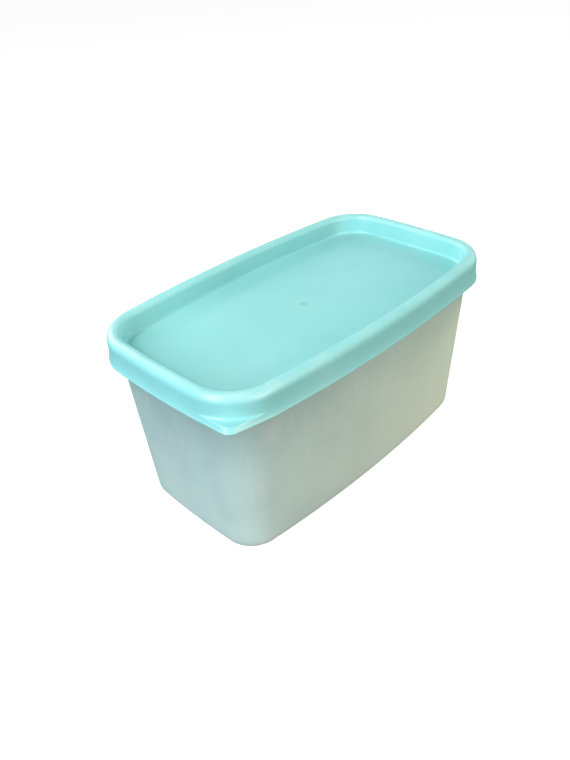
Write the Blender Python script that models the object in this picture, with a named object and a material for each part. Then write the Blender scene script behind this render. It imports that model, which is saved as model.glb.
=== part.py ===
"""A freezer tub with a press-on lid.

The tub is rectangular, with round corners, swelling sides and a slight taper. The lid's beaded rim grips the
tub's rim, its panel is sunk so that another tub can stand in it, and its skirt flares into a lip that widens
into a lifting tab at one corner.

X runs along the length, the front long side faces -Y, and the origin is on the floor under the middle.
Both pieces are lofts: every ring is the same bowed rectangle at another height, inset and corner radius.
"""

import math
from collections import namedtuple

import bmesh
import bpy
from mathutils import Vector

# Driving dimensions, in metres.
LENGTH = 0.200  # over the foot of the lid's skirt
WIDTH = 0.115
HEIGHT = 0.102
LONG_BOW = 0.0037  # how far a long side swells outwards at its middle
SHORT_BOW = 0.0007
GAP = 0.0004  # left between the lid and the tub

# The lid. An inset is counted inwards from the foot of the skirt.
LID_WALL = 0.0014
SKIRT_CORNER = 0.0272  # corner radius in plan
SKIRT_DEPTH = 0.0147
SKIRT_FLARE = 0.0013  # how far the foot stands out beyond the bead
LIP_HEIGHT = 0.0037  # the band along the foot that is drawn out into the tab
LIP_FLARE = 0.00055  # how far the foot stands out beyond the top of that band
LIP_ROUND = 0.0005
BEAD_RADIUS = 0.0027
RECESS_DEPTH = 0.0112
RECESS_DRAFT = 0.0011
PANEL_FILLET = 0.0015

# The lifting tab is the skirt's corner drawn out to a rounder tip by two flat flanks.
TAB_TIP = 0.0055  # radius of the tip
TAB_HALF_TURN = math.radians(36.5)  # from the tab's middle to where a flank leaves the skirt
TAB_MIDDLE = math.radians(221)  # where it points, at the front left corner
TAB_TOP_SHARE = 0.8  # of its reach, at the tab's upper edge

# The tub.
TUB_TOP_INSET = 0.0057  # where the wall goes up under the skirt
TUB_FOOT_INSET = 0.0107
TUB_FOOT_CORNER = 0.0175
FOOT_FILLET = 0.006
RIM_HALF_WIDTH = 0.001
SHOULDER_HEIGHT = 0.004  # over which the wall steps out to the rim

# Steps of the lofts.
LONG_STEPS = 10
SHORT_STEPS = 4
CORNER_STEPS = 20
BEAD_STEPS = 8
FILLET_STEPS = 4

# Heights and insets that both pieces share.
SKIRT_FOOT = HEIGHT - SKIRT_DEPTH
LIP_TOP = SKIRT_FOOT + LIP_HEIGHT
BEAD_HEIGHT = HEIGHT - BEAD_RADIUS
BEAD_INSET = SKIRT_FLARE + BEAD_RADIUS
PANEL_HEIGHT = HEIGHT - RECESS_DEPTH
FILLET_INSET = BEAD_INSET + BEAD_RADIUS + RECESS_DRAFT + PANEL_FILLET
FILLET_HEIGHT = PANEL_HEIGHT + PANEL_FILLET

# One ring of a loft. tab is the share of the tab's reach that the ring has.
Station = namedtuple("Station", "inset height corner tab")


def station(inset, height, tab=0.0):
    """A ring whose corners are concentric with the skirt's."""
    return Station(inset, height, SKIRT_CORNER - inset, tab)


def arc(inset, height, radius, start, end, steps):
    """Stations round a centre in the wall's section, from one angle to another. 0 points inwards and 90 up."""
    for step in range(steps + 1):
        angle = math.radians(start + (end - start) * step / steps)
        yield station(inset + radius * math.cos(angle), height + radius * math.sin(angle))


def tab_reach(turn):
    """How far the tab stands out of the skirt's corner, at an angle from the tab's middle."""
    turn = abs(turn)
    if turn >= TAB_HALF_TURN:
        return 0.0
    centre = (SKIRT_CORNER - TAB_TIP) / math.cos(TAB_HALF_TURN)
    flank_turn = math.atan2(
        TAB_TIP * math.sin(TAB_HALF_TURN), centre + TAB_TIP * math.cos(TAB_HALF_TURN)
    )
    if turn > flank_turn:
        return SKIRT_CORNER / math.cos(TAB_HALF_TURN - turn) - SKIRT_CORNER
    aside = centre * math.sin(turn)
    return centre * math.cos(turn) + math.sqrt(TAB_TIP**2 - aside**2) - SKIRT_CORNER


def side(half_run, reach, bow, facing, steps):
    """Points along a swelling side, each with its outward angle. facing is the side's own outward angle."""
    for step in range(steps + 1):
        share = 2 * step / steps - 1
        along, out = share * half_run, reach - bow * share**2
        lean = math.atan2(2 * bow * share, half_run)
        outward = Vector((math.cos(facing), math.sin(facing)))
        yield out * outward + along * outward.orthogonal(), facing + lean


def ring(at):
    """The points of one station, counter-clockwise from the left end of the front side."""
    reach_x = LENGTH / 2 - at.inset - at.corner
    reach_y = WIDTH / 2 - at.inset - at.corner
    run_x, run_y = reach_x - SHORT_BOW, reach_y - LONG_BOW
    sides = [
        list(side(run_x, reach_y, LONG_BOW, math.radians(-90), LONG_STEPS)),
        list(side(run_y, reach_x, SHORT_BOW, math.radians(0), SHORT_STEPS)),
        list(side(run_x, reach_y, LONG_BOW, math.radians(90), LONG_STEPS)),
        list(side(run_y, reach_x, SHORT_BOW, math.radians(180), SHORT_STEPS)),
    ]
    found = []
    for this, following in zip(sides, sides[1:] + sides[:1]):
        turns = list(this)
        centre, start = this[-1]
        turn = (following[0][1] - start) % math.tau
        for step in range(1, CORNER_STEPS):
            turns.append((centre, start + turn * step / CORNER_STEPS))
        for middle, angle in turns:
            reach = at.corner + at.tab * tab_reach(angle - TAB_MIDDLE)
            point = middle + reach * Vector((math.cos(angle), math.sin(angle)))
            found.append((point.x, point.y, at.height))
    return found


def lid_stations():
    """The lid's section, from the panel's edge over the bead to the skirt's foot, and back on the inside."""
    upper = [
        *arc(FILLET_INSET, FILLET_HEIGHT, PANEL_FILLET, 270, 180, FILLET_STEPS),
        *arc(BEAD_INSET, BEAD_HEIGHT, BEAD_RADIUS, 0, 180, BEAD_STEPS),
    ]
    lip = [
        station(LIP_FLARE, LIP_TOP + LIP_ROUND / 2),
        station(LIP_FLARE - LIP_ROUND / 4, LIP_TOP, TAB_TOP_SHARE),
        station(LIP_FLARE - LIP_ROUND / 2, LIP_TOP - LIP_ROUND, (1 + TAB_TOP_SHARE) / 2),
        station(0, SKIRT_FOOT + LIP_ROUND, 1),
        station(LIP_ROUND, SKIRT_FOOT, 1),
    ]
    inside = [
        station(LID_WALL, SKIRT_FOOT),
        station(LIP_FLARE + LID_WALL, LIP_TOP),
        *arc(BEAD_INSET, BEAD_HEIGHT, BEAD_RADIUS - LID_WALL, 180, 0, BEAD_STEPS),
        *arc(FILLET_INSET, FILLET_HEIGHT, PANEL_FILLET + LID_WALL, 180, 270, FILLET_STEPS),
    ]
    return upper + lip + inside


def tub_stations():
    """The tub's section, from its floor up the wall and over the rim, and down to the pocket under the panel."""
    foot = [
        at._replace(corner=TUB_FOOT_CORNER + TUB_FOOT_INSET - at.inset)
        for at in arc(TUB_FOOT_INSET + FOOT_FILLET, FOOT_FILLET, FOOT_FILLET, 270, 180, FILLET_STEPS)
    ]
    rim_foot = SKIRT_FOOT + SHOULDER_HEIGHT
    wall = [
        station(TUB_TOP_INSET, SKIRT_FOOT),
        station(BEAD_INSET - RIM_HALF_WIDTH, rim_foot),
        *arc(BEAD_INSET, BEAD_HEIGHT, RIM_HALF_WIDTH, 180, 0, FILLET_STEPS),
    ]
    pocket_fillet = PANEL_FILLET + LID_WALL + GAP
    pocket = arc(FILLET_INSET, FILLET_HEIGHT, pocket_fillet, 180, 270, FILLET_STEPS)
    return foot + wall + list(pocket)


def loft(name, stations, material, collection):
    """One closed piece through the rings of its stations, with a flat face across the first and the last."""
    shape = bmesh.new()
    rings = [[shape.verts.new(point) for point in ring(at)] for at in stations]
    for lower, upper in zip(rings, rings[1:]):
        for corner, vert in enumerate(lower):
            shape.faces.new((lower[corner - 1], vert, upper[corner], upper[corner - 1]))
    shape.faces.new(rings[0])
    shape.faces.new(rings[-1])
    bmesh.ops.recalc_face_normals(shape, faces=shape.faces)
    mesh = bpy.data.meshes.new(name)
    shape.to_mesh(mesh)
    shape.free()
    mesh.materials.append(material)
    mesh.shade_smooth()
    mesh.set_sharp_from_angle(angle=math.radians(30))
    collection.objects.link(bpy.data.objects.new(name, mesh))


def plastic(name, colour, roughness, see_through):
    """A moulded plastic, as a Principled BSDF."""
    material = bpy.data.materials.new(name)
    material.use_nodes = True
    shader = material.node_tree.nodes["Principled BSDF"]
    shader.inputs["Base Color"].default_value = (*colour, 1)
    shader.inputs["Roughness"].default_value = roughness
    shader.inputs["Metallic"].default_value = 0
    shader.inputs["Transmission Weight"].default_value = see_through
    return material


def clear_scene():
    for old in list(bpy.data.objects):
        bpy.data.objects.remove(old, do_unlink=True)


def main():
    clear_scene()
    collection = bpy.data.collections.new("freezer_container")
    bpy.context.scene.collection.children.link(collection)
    frosted = plastic("frosted_tub", colour=(0.42, 0.53, 0.50), roughness=0.45, see_through=0.3)
    aqua = plastic("aqua_lid", colour=(0.32, 0.77, 0.75), roughness=0.35, see_through=0)
    loft("tub", tub_stations(), frosted, collection)
    loft("lid", lid_stations(), aqua, collection)


main()
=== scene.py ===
# %% [markdown]
# # A freezer tub with a press-on lid
#
# The real object is two mouldings. The tub is milky, flexible plastic that lets light through but can't
# be seen through. The lid is opaque aqua plastic, with a rounded bead, a sunken panel, a skirt and a
# lifting tab.
#
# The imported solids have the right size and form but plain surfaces. This lesson loads them as a fixed
# frame and replaces each by a finer piece of the same form: a soft highlight runs cleanly along a bead
# only if it is round.

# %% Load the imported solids
import math
from collections import namedtuple

import bmesh
import bpy
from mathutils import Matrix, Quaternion, Vector


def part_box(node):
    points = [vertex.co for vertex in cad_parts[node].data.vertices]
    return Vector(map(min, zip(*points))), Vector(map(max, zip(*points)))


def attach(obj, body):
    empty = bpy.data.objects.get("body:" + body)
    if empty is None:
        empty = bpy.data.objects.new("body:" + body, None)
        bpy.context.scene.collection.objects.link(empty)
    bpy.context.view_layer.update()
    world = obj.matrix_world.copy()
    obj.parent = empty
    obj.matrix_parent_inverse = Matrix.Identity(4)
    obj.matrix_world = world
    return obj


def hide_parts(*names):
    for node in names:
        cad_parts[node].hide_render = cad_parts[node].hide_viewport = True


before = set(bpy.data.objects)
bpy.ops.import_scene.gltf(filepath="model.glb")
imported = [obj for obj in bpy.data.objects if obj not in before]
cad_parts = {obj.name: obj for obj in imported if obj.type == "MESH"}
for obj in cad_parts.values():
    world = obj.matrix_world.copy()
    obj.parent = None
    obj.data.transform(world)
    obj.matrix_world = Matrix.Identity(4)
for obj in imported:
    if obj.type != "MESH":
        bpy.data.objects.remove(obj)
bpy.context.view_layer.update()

print("solids:", sorted(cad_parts))

# %% [markdown]
# ## Camera
#
# The camera looks down on the near left corner from about 40 cm, which is close for an object of 20 cm,
# so the far end looks clearly smaller. It could be turned by three angles, but an aim, a bearing, an
# elevation and a distance are easier to read. It is held a little askew, so it rolls round its own line
# of sight last.

# %% Aim the camera
AIM = Vector((-0.00640, 0.01205, 0.04034))
BEARING = math.radians(-43.33)  # to the left of straight in front of the front long side
ELEVATION = math.radians(34.54)
ROLL = math.radians(-4.02)
DISTANCE = 0.400
LENS = 33.25  # mm, for the sensor's 36 mm along the picture's long side

back = Vector((
    math.sin(BEARING) * math.cos(ELEVATION),
    -math.cos(BEARING) * math.cos(ELEVATION),
    math.sin(ELEVATION),
))
camera = bpy.data.objects.new("camera", bpy.data.cameras.new("camera"))
camera.data.lens = LENS
camera.data.clip_start = 0.01
camera.location = AIM + DISTANCE * back
camera.rotation_mode = "QUATERNION"
camera.rotation_quaternion = (-back).to_track_quat("-Z", "Y") @ Quaternion((0, 0, 1), ROLL)
bpy.context.scene.collection.objects.link(camera)
bpy.context.scene.camera = camera
print("camera at, in mm:", [round(1000 * part) for part in camera.location])

# %% [markdown]
# ## Plan
#
# Seen from above, both mouldings are oblongs with round corners. Their sides swell a little, because a
# flat side of soft plastic would sink in as it cools. A quarter of this plan is three arcs that meet
# without a kink: half of a long side, a corner, and half of a short side. A swelling side is an arc of a
# very large radius.
#
# Such a shape could be an outline that is offset inwards again and again. Here a section through the wall
# is swung round the centres of the three arcs instead, like the leg of a compass, because each point of
# the section then keeps its distance from the wall by itself. Two mirrors make the other three quarters.

# %% Arcs of the plan
lowest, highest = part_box("lid")
LENGTH = highest.x - lowest.x
WIDTH = highest.y - lowest.y
HEIGHT = highest.z
LONG_BOW = 0.0037  # how far a long side swells outwards at its middle
SHORT_BOW = 0.0007
LONG_STEPS = 12  # of half a long side
CORNER_STEPS = 40
SHORT_STEPS = 6


def swell_radius(half_run, corner, bow):
    """The radius of a swelling side that meets its corner without a kink."""
    return (half_run**2 + (corner + bow) ** 2 - corner**2) / (2 * bow)


def plan_arcs(inset, corner):
    """A quarter's three arcs, each as centre, turn and steps. At this inset the corner's radius is corner."""
    corner_x = LENGTH / 2 - inset - SHORT_BOW - corner
    corner_y = WIDTH / 2 - inset - LONG_BOW - corner
    long_radius = swell_radius(corner_x, corner, LONG_BOW)
    short_radius = swell_radius(corner_y, corner, SHORT_BOW)
    long_turn = math.atan2(corner_x, long_radius - corner - LONG_BOW)
    short_turn = math.atan2(corner_y, short_radius - corner - SHORT_BOW)
    return [
        (Vector((0, WIDTH / 2 - inset - long_radius, 0)), long_turn, LONG_STEPS),
        (Vector((corner_x, corner_y, 0)), math.pi / 2 - long_turn - short_turn, CORNER_STEPS),
        (Vector((LENGTH / 2 - inset - short_radius, 0, 0)), short_turn, SHORT_STEPS),
    ]


# %% [markdown]
# ## Drawing and swinging a section
#
# A section is a chain of edges in the upright plane through the middle of the back long side. Its points
# could be typed in one by one, but round stretches are arcs with a real centre and radius, so the spin
# operator draws them. The same operator then swings the whole chain. Each point also says how far it
# takes part in the lid's lifting tab, and the operators hand that number on to every copy of the point.

# %% Section tools
MERGE = 1e-6
Point = namedtuple("Point", "inset height tab", defaults=[0])
Arc = namedtuple("Arc", "inset height radius start end steps")  # an angle of 0 points inwards and 90 up


def new_shape():
    shape = bmesh.new()
    shape.verts.layers.float.new("tab")
    return shape


def draw(shape, stretches):
    """Draws a section's points and arcs as one chain of edges."""
    last = None
    for stretch in stretches:
        centre = Vector((0, WIDTH / 2 - stretch.inset, stretch.height))
        place = centre
        if isinstance(stretch, Arc):
            start, turn = math.radians(stretch.start), math.radians(stretch.end - stretch.start)
            place = centre + stretch.radius * Vector((0, -math.cos(start), math.sin(start)))
        first = bmesh.ops.create_vert(shape, co=place)["vert"][0]
        if last:
            bmesh.ops.contextual_create(shape, geom=[last, first])
        last = first
        if isinstance(stretch, Arc):
            spun = bmesh.ops.spin(
                shape, geom=[first], cent=centre, axis=(-1, 0, 0), angle=turn, steps=stretch.steps
            )
            last = spun["geom_last"][0]
        else:
            first[shape.verts.layers.float["tab"]] = stretch.tab


def swing(shape, inset, corner):
    """Swings the section that has no faces yet through a quarter of the plan."""
    section = [part for part in [*shape.verts, *shape.edges] if not part.link_faces]
    for centre, turn, steps in plan_arcs(inset, corner):
        swung = bmesh.ops.spin(shape, geom=section, cent=centre, axis=(0, 0, 1), angle=-turn, steps=steps)
        section = swung["geom_last"]


def mirror_quarter(shape):
    for axis in "XY":
        made = shape.verts[:] + shape.edges[:] + shape.faces[:]
        bmesh.ops.mirror(shape, geom=made, axis=axis, merge_dist=MERGE)
    bmesh.ops.remove_doubles(shape, verts=shape.verts, dist=MERGE)


def open_edges(shape, height):
    """The edges round the hole that lies at this height."""
    return [
        edge
        for edge in shape.edges
        if edge.is_boundary and all(abs(vert.co.z - height) < MERGE for vert in edge.verts)
    ]


def finished(shape, name, material, node):
    """Turns the faces outwards and makes the piece that stands for a CAD node."""
    bmesh.ops.recalc_face_normals(shape, faces=shape.faces)
    mesh = bpy.data.meshes.new(name)
    shape.to_mesh(mesh)
    shape.free()
    mesh.materials.append(material)
    mesh.shade_smooth()
    piece = bpy.data.objects.new(name, mesh)
    bpy.context.scene.collection.objects.link(piece)
    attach(piece, "root")
    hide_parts(node)
    size = [round(1000 * side, 1) for side in piece.dimensions]
    print(name, "has", len(mesh.polygons), "faces, its size in mm is", size)
    return piece


# %% [markdown]
# ## Nodes
#
# Every material below is built from the same few kinds of node, so a helper adds one node and connects
# it. All patterns read object coordinates, which are metres on the part: a noise scale of 50 has features
# of 20 mm.

# %% Node helpers
def add(tree, kind, inputs=None, **settings):
    """Adds a node. Each input is a value or another node's output, under the socket's name or number."""
    node = tree.nodes.new(kind)
    for name, value in settings.items():
        setattr(node, name, value)
    for name, value in (inputs or {}).items():
        if isinstance(value, bpy.types.NodeSocket):
            tree.links.new(value, node.inputs[name])
        else:
            node.inputs[name].default_value = value
    return node


def noise(tree, scale, detail=3, stretch=(1, 1, 1), turn=(0, 0, 0)):
    """A noise of about 0.3 to 0.7, stretched along the axes whose number is small."""
    place = add(tree, "ShaderNodeTexCoord").outputs["Object"]
    spread = add(tree, "ShaderNodeMapping", {"Vector": place, "Rotation": turn, "Scale": stretch})
    clouds = add(
        tree, "ShaderNodeTexNoise", {"Vector": spread.outputs[0], "Scale": scale, "Detail": detail}
    )
    return clouds.outputs[0]


def remap(tree, value, start, end, low, high):
    """value, with start to end made low to high and cut off beyond."""
    ranged = add(
        tree,
        "ShaderNodeMapRange",
        {"Value": value, "From Min": start, "From Max": end, "To Min": low, "To Max": high},
    )
    return ranged.outputs[0]


def blend(tree, share, first, second):
    """The colour first where share is 0 and second where it is 1."""
    mixed = add(tree, "ShaderNodeMix", {0: share, 6: first, 7: second}, data_type="RGBA")
    return mixed.outputs[2]


def new_finish(name):
    material = bpy.data.materials.new(name)
    material.use_nodes = True
    return material, material.node_tree, material.node_tree.nodes["Principled BSDF"]


# %% [markdown]
# ## Marks of making and of use
#
# Plastic that has been used for a while has hairline scratches. They could be drawn as curves, but the
# line along which a stretched noise crosses its middle value is already thin, long and a little crooked,
# like a scratch. Another noise leaves most of these lines out.

# %% Shared marks
def object_place(tree, axis):
    place = add(tree, "ShaderNodeTexCoord").outputs["Object"]
    return add(tree, "ShaderNodeSeparateXYZ", {"Vector": place}).outputs[axis]


def calculate(tree, operation, first, second):
    return add(tree, "ShaderNodeMath", {0: first, 1: second}, operation=operation).outputs[0]


def hairlines(tree, turn, width):
    """1 on fine lines that run across the surface in the direction that turn gives, and 0 elsewhere."""
    field = noise(tree, scale=300, detail=1, stretch=(0.06, 1, 1), turn=turn)
    rising = remap(tree, field, 0.5 - width, 0.5, 0, 1)
    falling = remap(tree, field, 0.5, 0.5 + width, 1, 0)
    lines = calculate(tree, "MINIMUM", rising, falling)
    patches = remap(tree, noise(tree, scale=55, detail=2), 0.54, 0.62, 0, 1)
    return calculate(tree, "MULTIPLY", lines, patches)


def surface_bump(tree, shader, parts):
    """Lays bumps on top of each other. Each is a pattern, a strength and a height in metres."""
    normal = None
    for pattern, strength, height in parts:
        inputs = {"Height": pattern, "Strength": strength, "Distance": height}
        if normal:
            inputs["Normal"] = normal
        normal = add(tree, "ShaderNodeBump", inputs).outputs[0]
    tree.links.new(normal, shader.inputs["Normal"])
    return normal


# %% [markdown]
# ## Aqua plastic
#
# The lid is coloured right through, and a little light enters it and softens its edges. Its polished
# mould leaves it fairly glossy, but not like glass: the surface is very slightly uneven, as orange peel
# is. Hands and stacking rub the lip and the crown of the bead duller. Both are also painted paler, partly
# as wear and partly as a painted highlight, and the crown most of all at the corners, where the painted
# highlight is strongest. The panel keeps faint smudges, and the plastic is a bit cloudier round the gate,
# where it was pressed into the mould. The gate's dimple is painted darker, and the panel has a painted
# pool of light towards its back left corner.
#
# Each of these marks could be a picture laid over the lid. Noises that read object coordinates have no
# seams, and heights on the part say where the bead and the lip are.

# %% Aqua finish
AQUA = (0.220, 0.543, 0.540, 1)
AQUA_DEEP = (0.207, 0.520, 0.517, 1)
AQUA_PALE_AND_HIGHLIGHT = (0.56, 0.72, 0.70, 1)
AQUA_PAINTED_LIGHT = (0.30, 0.68, 0.67, 1)
AQUA_GATE_DARK = (0.13, 0.37, 0.35, 1)
CROWN_DEPTH = 0.0036  # how far down from the top the bead is painted paler, as wear and as painted highlight
# Between these two values the crown's paleness, part wear and part painted highlight, grows towards the
# corners.
CORNER_START = 0.0034  # the product of x and y, in square metres, is largest at the corners
CORNER_FULL = 0.0046
GATE_DARK_CORE = 0.0010  # distances from the gate's middle
GATE_DARK_EDGE = 0.0038
# A painted pool of light on the panel, round this place.
LIT_PATCH_PLACE = (-0.050, 0.038, 0)
LIT_PATCH_CORE = 0.008
LIT_PATCH_EDGE = 0.040


def aqua_finish():
    material, tree, shader = new_finish("aqua_plastic")
    height = object_place(tree, "Z")
    along_and_across = calculate(tree, "MULTIPLY", object_place(tree, "X"), object_place(tree, "Y"))
    from_axes = calculate(tree, "ABSOLUTE", along_and_across, 0)
    # Wear and painted highlight: the crown and the lip are painted paler, the crown most at the corners.
    corners = remap(tree, from_axes, CORNER_START, CORNER_FULL, 0.30, 1)
    top = remap(tree, height, HEIGHT - CROWN_DEPTH, HEIGHT, 0, 1)
    crown = calculate(tree, "MULTIPLY", top, corners)
    foot = remap(tree, height, SKIRT_FOOT + 0.0006, SKIRT_FOOT + 0.0020, 0.30, 0)
    touch = remap(tree, noise(tree, scale=60, detail=4), 0.35, 0.65, 0.35, 1)
    wear_and_highlight = calculate(tree, "MULTIPLY", calculate(tree, "MAXIMUM", crown, foot), touch)
    smudges = remap(tree, noise(tree, scale=28, detail=2), 0.50, 0.80, 0, 1)
    scratches = hairlines(tree, (0.2, 0.1, 0.5), 0.006)

    place = add(tree, "ShaderNodeTexCoord").outputs["Object"]
    flat_place = add(tree, "ShaderNodeMapping", {"Vector": place, "Scale": (1, 1, 0)}).outputs[0]
    from_gate = add(tree, "ShaderNodeVectorMath", {0: flat_place}, operation="LENGTH").outputs["Value"]
    blush = remap(tree, from_gate, 0.0020, 0.0075, 0.10, 0)
    # The panel is painted darker towards the gate's middle.
    gate_darkening = remap(tree, from_gate, GATE_DARK_CORE, GATE_DARK_EDGE, 0.45, 0)
    # Painted light: the panel is painted lighter round its back left part.
    from_light_patch = add(
        tree, "ShaderNodeVectorMath", {0: flat_place, 1: LIT_PATCH_PLACE}, operation="DISTANCE"
    ).outputs["Value"]
    painted_light_patch = remap(tree, from_light_patch, LIT_PATCH_CORE, LIT_PATCH_EDGE, 0.45, 0)

    clouds = remap(tree, noise(tree, scale=40, detail=2), 0.3, 0.7, 0, 1)
    colour = blend(tree, clouds, AQUA_DEEP, AQUA)
    for mark, strength in ((smudges, 0.10), (blush, 1.0), (wear_and_highlight, 0.50)):
        colour = blend(tree, calculate(tree, "MULTIPLY", mark, strength), colour, AQUA_PALE_AND_HIGHLIGHT)
    colour = blend(tree, painted_light_patch, colour, AQUA_PAINTED_LIGHT)
    colour = blend(tree, gate_darkening, colour, AQUA_GATE_DARK)
    tree.links.new(colour, shader.inputs["Base Color"])

    gloss = remap(tree, noise(tree, scale=90, detail=4), 0.3, 0.7, 0.285, 0.345)
    for share, duller in ((smudges, 0.08), (wear_and_highlight, 0.07), (scratches, 0.08)):
        gloss = calculate(tree, "ADD", gloss, calculate(tree, "MULTIPLY", share, duller))
    tree.links.new(gloss, shader.inputs["Roughness"])
    shader.inputs["Subsurface Weight"].default_value = 0.15
    shader.inputs["Subsurface Radius"].default_value = (0.001, 0.002, 0.002)

    peel = noise(tree, scale=420, detail=2)
    sink = noise(tree, scale=35, detail=1)
    surface_bump(tree, shader, [(sink, 0.10, 0.0008), (peel, 0.08, 0.0001), (scratches, -0.2, 0.00002)])
    return material


# %% [markdown]
# ## Section of the lid
#
# From the middle outwards the lid is a panel sunk below the rim so that another tub can stand on it, a
# steep wall, a round bead, and a skirt that grips the tub. The bead isn't half a tube: its outer side has
# a larger radius than its inner one and runs out into the skirt in a long soft shoulder. The skirt's foot
# flares into a lip. The whole section is one closed wall of nearly even thickness. It could be a surface
# that the Solidify modifier thickens, but the bead's inner radius and the square foot of the lip come out
# truer when the inner line is drawn as well.

# %% Lid section
SKIRT_CORNER = 0.0272  # corner radius in plan, at the skirt's foot
SKIRT_DEPTH = 0.0147
SKIRT_FLARE = 0.0009  # how far the foot stands out beyond the waist
LIP_HEIGHT = 0.0037
BEAD_INNER = 0.0029  # radius of the bead's inner half
BEAD_OUTER = 0.0036
SHOULDER = 0.0065  # radius where the bead runs out into the skirt
SHOULDER_TURN = 20  # degrees
RECESS_DEPTH = 0.0112
RECESS_DRAFT = 0.0002
PANEL_FILLET = 0.0015
LID_WALL = 0.0014

PANEL_HEIGHT = HEIGHT - RECESS_DEPTH
SKIRT_FOOT = HEIGHT - SKIRT_DEPTH
shift = SHOULDER - BEAD_OUTER  # from the centre of the bead's outer half to the shoulder's centre
shift_in = shift * math.cos(math.radians(SHOULDER_TURN))
shift_down = shift * math.sin(math.radians(SHOULDER_TURN))
BEAD_INSET = SKIRT_FLARE + SHOULDER - shift_in
FILLET_INSET = BEAD_INSET + BEAD_INNER + RECESS_DRAFT + PANEL_FILLET
FILLET_HEIGHT = HEIGHT - RECESS_DEPTH + PANEL_FILLET

# From the skirt's waist down round the lip's edge and in again under the wall.
lip = [
    Point(0.00090, SKIRT_FOOT + 0.0065),
    Point(0.00088, SKIRT_FOOT + 0.0059),
    Point(0.00081, SKIRT_FOOT + 0.0048),
    Point(0.00075, SKIRT_FOOT + 0.0042, tab=0.02),
    Point(0.00073, SKIRT_FOOT + 0.0040, tab=0.08),
    Point(0.00072, SKIRT_FOOT + 0.0039, tab=0.22),
    Point(0.00071, SKIRT_FOOT + 0.0038, tab=0.45),
    Point(0.00070, SKIRT_FOOT + 0.0037, tab=0.68),
    Point(0.00069, SKIRT_FOOT + 0.0036, tab=0.79),
    Point(0.00066, SKIRT_FOOT + 0.0034, tab=0.85),
    Point(0.00061, SKIRT_FOOT + 0.0031, tab=0.89),
    Point(0.00050, SKIRT_FOOT + 0.0024, tab=0.92),
    Point(0.00027, SKIRT_FOOT + 0.0014, tab=0.96),
    Point(0.00005, SKIRT_FOOT + 0.0007, tab=0.99),
    Point(0.00000, SKIRT_FOOT + 0.0004, tab=1.00),
    Point(0.00005, SKIRT_FOOT + 0.0002, tab=1.00),
    Point(0.00018, SKIRT_FOOT + 0.00005, tab=0.99),
    Point(0.00040, SKIRT_FOOT, tab=0.96),
    Point(0.00070, SKIRT_FOOT, tab=0.70),
    Point(SKIRT_FLARE + LID_WALL, SKIRT_FOOT),
]

lid_shape = new_shape()
draw(lid_shape, [
    Point(FILLET_INSET + 0.001, PANEL_HEIGHT),
    Arc(FILLET_INSET, FILLET_HEIGHT, PANEL_FILLET, 270, 180, 8),
    Arc(BEAD_INSET, HEIGHT - BEAD_INNER, BEAD_INNER, 0, 90, 12),
    Arc(BEAD_INSET, HEIGHT - BEAD_OUTER, BEAD_OUTER, 90, 180 - SHOULDER_TURN, 12),
    Arc(BEAD_INSET + shift_in, HEIGHT - BEAD_OUTER - shift_down, SHOULDER, 180 - SHOULDER_TURN, 180, 6),
    *lip,
    Arc(BEAD_INSET, HEIGHT - BEAD_OUTER, BEAD_OUTER - LID_WALL, 180, 90, 8),
    Arc(BEAD_INSET, HEIGHT - BEAD_INNER, BEAD_INNER - LID_WALL, 90, 0, 6),
    Arc(FILLET_INSET, FILLET_HEIGHT, PANEL_FILLET + LID_WALL, 180, 270, 6),
])
print("the lid's section has", len(lid_shape.verts), "points")

# %% [markdown]
# ## Lifting tab
#
# At one corner the lip runs out into a small tab for a thumb. Its flanks are straight and leave the round
# corner without a kink, and its tip is an arc. It could be a piece of its own, joined on, but on the real
# lid it is the same flange, which grows wider. So each point of the finished lip moves straight out from
# the corner's centre, by the tab's reach in its direction times the share that the section gave it. The
# steep part of the flange above the tab hardly moves, and that leaves the crescent-shaped step between
# skirt and tab.

# %% Tab
TAB_TIP = 0.0055  # radius of the tab's round tip
TAB_HALF_TURN = math.radians(36.5)  # from the tab's middle to where a flank leaves the skirt
TAB_MIDDLE = math.radians(-139)  # where it points, at the front left corner
TAB_HOLLOW = 0.0007  # how deep the thumb's hollow in the tab's top is


def tab_reach(turn):
    """How far the tab stands out of the skirt's corner, at an angle from the tab's middle."""
    turn = abs(turn)
    if turn >= TAB_HALF_TURN:
        return 0.0
    centre = (SKIRT_CORNER - TAB_TIP) / math.cos(TAB_HALF_TURN)
    flank_turn = math.atan2(
        TAB_TIP * math.sin(TAB_HALF_TURN), centre + TAB_TIP * math.cos(TAB_HALF_TURN)
    )
    if turn > flank_turn:
        return SKIRT_CORNER / math.cos(TAB_HALF_TURN - turn) - SKIRT_CORNER
    aside = centre * math.sin(turn)
    return centre * math.cos(turn) + math.sqrt(TAB_TIP**2 - aside**2) - SKIRT_CORNER


def pull_tab(shape):
    """Draws the lip out into a tab at the front left corner."""
    share = shape.verts.layers.float["tab"]
    corner = -plan_arcs(0, SKIRT_CORNER)[1][0]
    for vert in shape.verts:
        spoke = (vert.co - corner).xy
        if vert[share] and spoke.x < 0 and spoke.y < 0:
            turn = math.atan2(spoke.y, spoke.x) - TAB_MIDDLE
            out = vert[share] * tab_reach(turn) * spoke.normalized()
            hollow = 4 * vert[share] * (1 - vert[share]) if vert.co.z > SKIRT_FOOT + LIP_HEIGHT / 2 else 0
            down = -TAB_HOLLOW * hollow * tab_reach(turn) / tab_reach(0)
            bmesh.ops.translate(shape, verts=[vert], vec=(out.x, out.y, down))


print("the tab stands out of the corner by, in mm:", round(1000 * tab_reach(0), 1))

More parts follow.
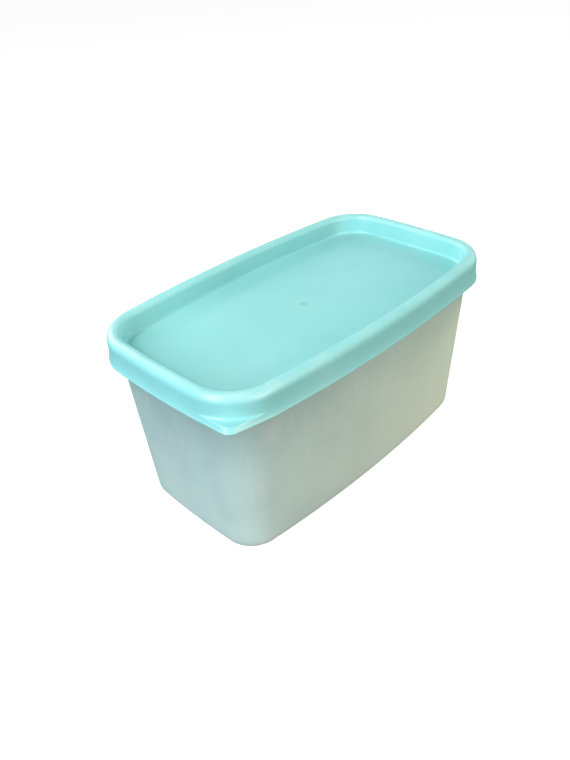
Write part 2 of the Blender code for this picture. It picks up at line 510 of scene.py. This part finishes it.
# %% [markdown]
# ## Gate mark
#
# Melted plastic enters the mould through a small hole over the middle of the lid. Where it was cut off,
# the panel keeps a shallow dimple with a low nub in it. A bump pattern could suggest it, but a dimple
# that is really in the mesh also shows from the side. Its section is spun once round. Its outermost ring
# is flat already, so that the panel round it joins it without a crease.

# %% Gate mark
GATE_RADIUS = 0.0027
GATE_DEPTH = 0.00034
NUB_RADIUS = 0.0005
GATE_STEPS = 64


def press_gate(shape):
    """Spins the gate's dimple in the middle of the panel."""
    section = [
        (0, -0.4 * GATE_DEPTH),
        (0.6 * NUB_RADIUS, -0.5 * GATE_DEPTH),
        (NUB_RADIUS, -GATE_DEPTH),
        (0.55 * GATE_RADIUS, -GATE_DEPTH),
        (0.80 * GATE_RADIUS, -0.6 * GATE_DEPTH),
        (0.93 * GATE_RADIUS, -0.1 * GATE_DEPTH),
        (GATE_RADIUS, 0),
        (1.3 * GATE_RADIUS, 0),
    ]
    chain = [
        bmesh.ops.create_vert(shape, co=(0, across, PANEL_HEIGHT + down))["vert"][0]
        for across, down in section
    ]
    for first, second in zip(chain, chain[1:]):
        bmesh.ops.contextual_create(shape, geom=[first, second])
    made = [part for part in [*shape.verts, *shape.edges] if not part.link_faces]
    bmesh.ops.spin(
        shape, geom=made, cent=(0, 0, 0), axis=(0, 0, 1), angle=math.tau, steps=GATE_STEPS, use_merge=True
    )
    bmesh.ops.remove_doubles(shape, verts=shape.verts, dist=MERGE)


# %% [markdown]
# ## Lid
#
# Now the section goes once round the plan. The flat ring between the panel's edge and the gate's dimple
# could be bridged, but a bridge between an oblong and a small circle twists. So it is filled with
# triangles, which all lie in one plane. The underside of the panel is one flat face.

# %% Lid
swing(lid_shape, 0, SKIRT_CORNER)
mirror_quarter(lid_shape)
pull_tab(lid_shape)
press_gate(lid_shape)
bmesh.ops.triangle_fill(
    lid_shape, use_beauty=True, edges=open_edges(lid_shape, PANEL_HEIGHT), normal=(0, 0, 1)
)
bmesh.ops.holes_fill(lid_shape, edges=open_edges(lid_shape, PANEL_HEIGHT - LID_WALL))
finished(lid_shape, "lid_moulding", aqua_finish(), "lid")

# %% [markdown]
# ## Frosted plastic
#
# The tub's plastic has no colour of its own: it is milky, and its mould was etched, so it is dull. Light
# that falls on one wall comes out of the others. That could be glass with a rough surface, but much of
# the light scatters in the wall. So the finish is about a third an ordinary surface and two thirds a
# translucent one, which passes light on in all directions. Its colour has light and shade painted in: it
# is painted whiter towards the foot and warmer towards the right as painted light, and a little darker
# in a band under the lid as painted shade. Clouds, flow lines up the walls, scuffs and hairlines keep it
# from looking like paper, and the rounded foot is painted darker, as shade where it meets the floor.

# %% Frosted finish
MILK = (0.82, 0.94, 0.92, 1)
MILK_GREY = (0.73, 0.86, 0.85, 1)
MILK_WHITE = (0.90, 0.96, 0.94, 1)
MILK_SHADED = (0.63, 0.785, 0.78, 1)
MILK_WARM_LIT = (0.95, 0.975, 0.875, 1)
MILK_FOOT_SHADE = (0.62, 0.66, 0.62, 1)
MILK_SHARE = 0.65  # how much of the finish is translucent
DARK_BAND = 0.028  # height of the band of painted shade under the lid
WARM_START = -0.085  # where along the tub the painted warm light begins
FOOT_SHADE_FULL = 0.0016  # heights above the ground of the painted shade at the foot
FOOT_SHADE_TOP = 0.0036


def frosted_finish():
    material, tree, shader = new_finish("frosted_plastic")
    clouds = remap(tree, noise(tree, scale=26, detail=5), 0.35, 0.62, 0, 1)
    flow = noise(tree, scale=75, detail=3, stretch=(1, 1, 0.12))
    scuffs = remap(tree, noise(tree, scale=95, detail=3, stretch=(1, 1, 0.4)), 0.60, 0.70, 0, 1)
    scratches = hairlines(tree, (0.3, 1.2, 0.2), 0.010)
    # Painted light: the colour is whiter towards the foot.
    painted_light_below = remap(tree, object_place(tree, "Z"), 0, SKIRT_FOOT, 1, 0)
    # Painted shade: darker in a band under the lid.
    painted_lid_shade = remap(tree, object_place(tree, "Z"), SKIRT_FOOT - DARK_BAND, SKIRT_FOOT, 0, 1)
    # Painted light: warmer towards the right.
    painted_warm_light = remap(tree, object_place(tree, "X"), WARM_START, LENGTH / 2, 0, 1)
    # Painted shade: darker at the foot, where the tub meets the floor.
    foot = remap(tree, object_place(tree, "Z"), FOOT_SHADE_FULL, FOOT_SHADE_TOP, 1, 0)
    painted_foot_shade = calculate(tree, "MULTIPLY", foot, remap(tree, noise(tree, scale=45), 0.40, 0.60, 0.3, 1))

    colour = blend(tree, clouds, MILK_GREY, MILK)
    for share, strength, tint in (
        (painted_light_below, 0.20, MILK_WHITE),
        (painted_warm_light, 0.80, MILK_WARM_LIT),
        (painted_lid_shade, 0.50, MILK_SHADED),
        (scuffs, 0.50, MILK_WHITE),
        (scratches, 0.20, MILK_WHITE),
        (painted_foot_shade, 0.55, MILK_FOOT_SHADE),
    ):
        colour = blend(tree, calculate(tree, "MULTIPLY", share, strength), colour, tint)
    tree.links.new(colour, shader.inputs["Base Color"])

    gloss = remap(tree, flow, 0.3, 0.7, 0.36, 0.50)
    gloss = calculate(tree, "ADD", gloss, calculate(tree, "MULTIPLY", scuffs, 0.10))
    tree.links.new(gloss, shader.inputs["Roughness"])

    grain = noise(tree, scale=1500, detail=2)
    bumps = [(flow, 0.10, 0.0004), (grain, 0.15, 0.00005), (scratches, -0.3, 0.00003)]
    normal = surface_bump(tree, shader, bumps)
    milk = add(tree, "ShaderNodeBsdfTranslucent", {"Color": colour, "Normal": normal})
    both = add(tree, "ShaderNodeMixShader", {0: MILK_SHARE, 1: shader.outputs[0], 2: milk.outputs[0]})
    tree.links.new(both.outputs[0], tree.nodes["Material Output"].inputs["Surface"])
    return material


# %% [markdown]
# ## Tub
#
# The tub narrows towards its foot, so that empty ones nest and a full one can be tipped out. Its foot has
# its own plan, smaller and with tighter corners, so its walls can't be one section swung round. Two short
# sections are swung instead, the rounded foot and the rim, and the bridge tool draws the straight walls
# between them. The Solidify modifier then adds the wall's thickness inwards. A shoulder closes the gap
# behind the lid's lip, and the rim above it goes up into the bead.

# %% Tub
TUB_TOP_INSET = 0.0057
TUB_FOOT_INSET = 0.0107
TUB_FOOT_CORNER = 0.0175
FOOT_FILLET = 0.006
TUB_WALL = 0.0014
RIM_INSET = 0.0033
RIM_TOP = 0.0996
SHOULDER_HEIGHT = 0.004

tub_shape = new_shape()
draw(tub_shape, [Arc(TUB_FOOT_INSET + FOOT_FILLET, FOOT_FILLET, FOOT_FILLET, 270, 180, 10)])
swing(tub_shape, TUB_FOOT_INSET, TUB_FOOT_CORNER)
draw(tub_shape, [
    Point(TUB_TOP_INSET, SKIRT_FOOT),
    Point(RIM_INSET, SKIRT_FOOT + SHOULDER_HEIGHT),
    Point(RIM_INSET, RIM_TOP),
])
swing(tub_shape, TUB_TOP_INSET, SKIRT_CORNER - TUB_TOP_INSET)
mirror_quarter(tub_shape)
wall_ends = open_edges(tub_shape, FOOT_FILLET) + open_edges(tub_shape, SKIRT_FOOT)
bmesh.ops.bridge_loops(tub_shape, edges=wall_ends)
bmesh.ops.holes_fill(tub_shape, edges=open_edges(tub_shape, 0))
tub = finished(tub_shape, "tub_moulding", frosted_finish(), "tub")

wall = tub.modifiers.new("wall", "SOLIDIFY")
wall.thickness = TUB_WALL
wall.use_even_offset = True

# %% [markdown]
# ## Floor and backdrop
#
# The part stands on a pale studio floor that turns up into a wall all round, so that no horizon shows
# from any side. The floor could get its brightness from the lamps alone, but then they would have to be
# so strong that the floor lit the part from below. It glows almost white of its own instead, and only the
# camera sees it. It lies a hair's breadth below the foot, because two faces in one place would flicker.

# %% Floor
FLOOR_RADIUS = 3.0
SWEEP_RADIUS = 0.8
WALL_TOP = 4.0
FLOOR_GAP = 0.0001
FLOOR_GLOW = 0.96


def floor_finish():
    material, tree, shader = new_finish("pale_floor")
    clouds = noise(tree, scale=8)
    colour = blend(tree, remap(tree, clouds, 0.3, 0.7, 0, 1), (0.28, 0.28, 0.28, 1), (0.32, 0.32, 0.32, 1))
    tree.links.new(colour, shader.inputs["Base Color"])
    shader.inputs["Roughness"].default_value = 0.9
    shader.inputs["Specular IOR Level"].default_value = 0.2
    shader.inputs["Emission Color"].default_value = (1, 1, 1, 1)
    shader.inputs["Emission Strength"].default_value = FLOOR_GLOW
    return material


floor_shape = bmesh.new()
middle = bmesh.ops.create_vert(floor_shape, co=(0, 0, 0))["vert"][0]
turn_start = bmesh.ops.create_vert(floor_shape, co=(FLOOR_RADIUS, 0, 0))["vert"][0]
wall_top = bmesh.ops.create_vert(floor_shape, co=(FLOOR_RADIUS + SWEEP_RADIUS, 0, WALL_TOP))["vert"][0]
sweep = bmesh.ops.spin(
    floor_shape,
    geom=[turn_start],
    cent=(FLOOR_RADIUS, 0, SWEEP_RADIUS),
    axis=(0, -1, 0),
    angle=math.pi / 2,
    steps=12,
)
for ends in ([middle, turn_start], [sweep["geom_last"][0], wall_top]):
    bmesh.ops.contextual_create(floor_shape, geom=ends)
bmesh.ops.spin(
    floor_shape,
    geom=floor_shape.verts[:] + floor_shape.edges[:],
    cent=(0, 0, 0),
    axis=(0, 0, 1),
    angle=math.tau,
    steps=96,
    use_merge=True,
)
bmesh.ops.remove_doubles(floor_shape, verts=floor_shape.verts, dist=MERGE)
bmesh.ops.translate(floor_shape, verts=floor_shape.verts, vec=(0, 0, -FLOOR_GAP))
bmesh.ops.recalc_face_normals(floor_shape, faces=floor_shape.faces)
bmesh.ops.reverse_faces(floor_shape, faces=floor_shape.faces)
floor_mesh = bpy.data.meshes.new("floor")
floor_shape.to_mesh(floor_mesh)
floor_shape.free()
floor_mesh.materials.append(floor_finish())
floor_mesh.shade_smooth()
floor = bpy.data.objects.new("floor", floor_mesh)
bpy.context.scene.collection.objects.link(floor)
for rays in ("diffuse", "glossy", "transmission", "volume_scatter", "shadow"):
    setattr(floor, "visible_" + rays, False)
print("the floor has", len(floor_mesh.polygons), "faces")

# %% [markdown]
# ## Light
#
# Soft light comes from all round, so that no side is black. The strong lamps stand in front, behind and
# at both ends. The three narrow ones on the left draw the clear streak that a glossy lid has. Every lamp
# stands one metre from the middle of the part and is given by its direction, which is easier to change
# than a place. The one on the right only fills the shade: it is kept from being mirrored in the bead,
# which no real lamp could do.

# %% Light
def soft_light(name, bearing, elevation, size, power, colour, mirrored=True):
    """A soft light one metre away. Bearings: 0 to the right of the part, 90 behind it, 180 to its left."""
    around, up = math.radians(bearing), math.radians(elevation)
    away = Vector((math.cos(around) * math.cos(up), math.sin(around) * math.cos(up), math.sin(up)))
    lamp = bpy.data.lights.new(name, "AREA")
    lamp.shape = "RECTANGLE"
    lamp.size, lamp.size_y = size
    lamp.energy = power
    lamp.color = colour
    made = bpy.data.objects.new(name, lamp)
    made.location = Vector((0, 0, HEIGHT / 2)) + away
    made.rotation_mode = "QUATERNION"
    made.rotation_quaternion = away.to_track_quat("Z", "Y")
    made.visible_glossy = mirrored
    bpy.context.scene.collection.objects.link(made)


soft_light("window", 178, 30, (0.30, 0.50), 3.3, (0.88, 0.94, 1.0))
soft_light("transom", 174, 52, (0.25, 0.40), 6.4, (1.0, 0.94, 0.90))
soft_light("low_left", 187, 15, (0.30, 0.50), 6.3, (0.75, 0.86, 1.0))
soft_light("main", 224, 42, (0.45, 0.80), 0.6, (1.0, 0.94, 0.99))
soft_light("front", 270, 12, (0.70, 0.70), 9.4, (1.0, 0.855, 0.76))
soft_light("front_high", 290, 40, (0.50, 0.50), 1.25, (1.0, 0.90, 0.82))
soft_light("low_right", 335, 8, (0.40, 0.40), 0.3, (1.0, 0.95, 0.83))
soft_light("right", 0, 15, (0.70, 0.70), 11.3, (0.80, 0.96, 1.0), mirrored=False)
soft_light("sheen", 40, 30, (0.60, 0.60), 0.75, (1.0, 0.90, 0.87))
soft_light("behind", 100, 25, (0.60, 0.60), 7.2, (0.95, 1.0, 0.99))
soft_light("top", 0, 90, (0.80, 0.80), 0.65, (0.86, 0.95, 1.0))

world = bpy.data.worlds.new("studio")
world.use_nodes = True
world.node_tree.nodes["Background"].inputs["Color"].default_value = (1, 1, 1, 1)
world.node_tree.nodes["Background"].inputs["Strength"].default_value = 0.002
bpy.context.scene.world = world
bpy.context.scene.view_settings.view_transform = "Standard"
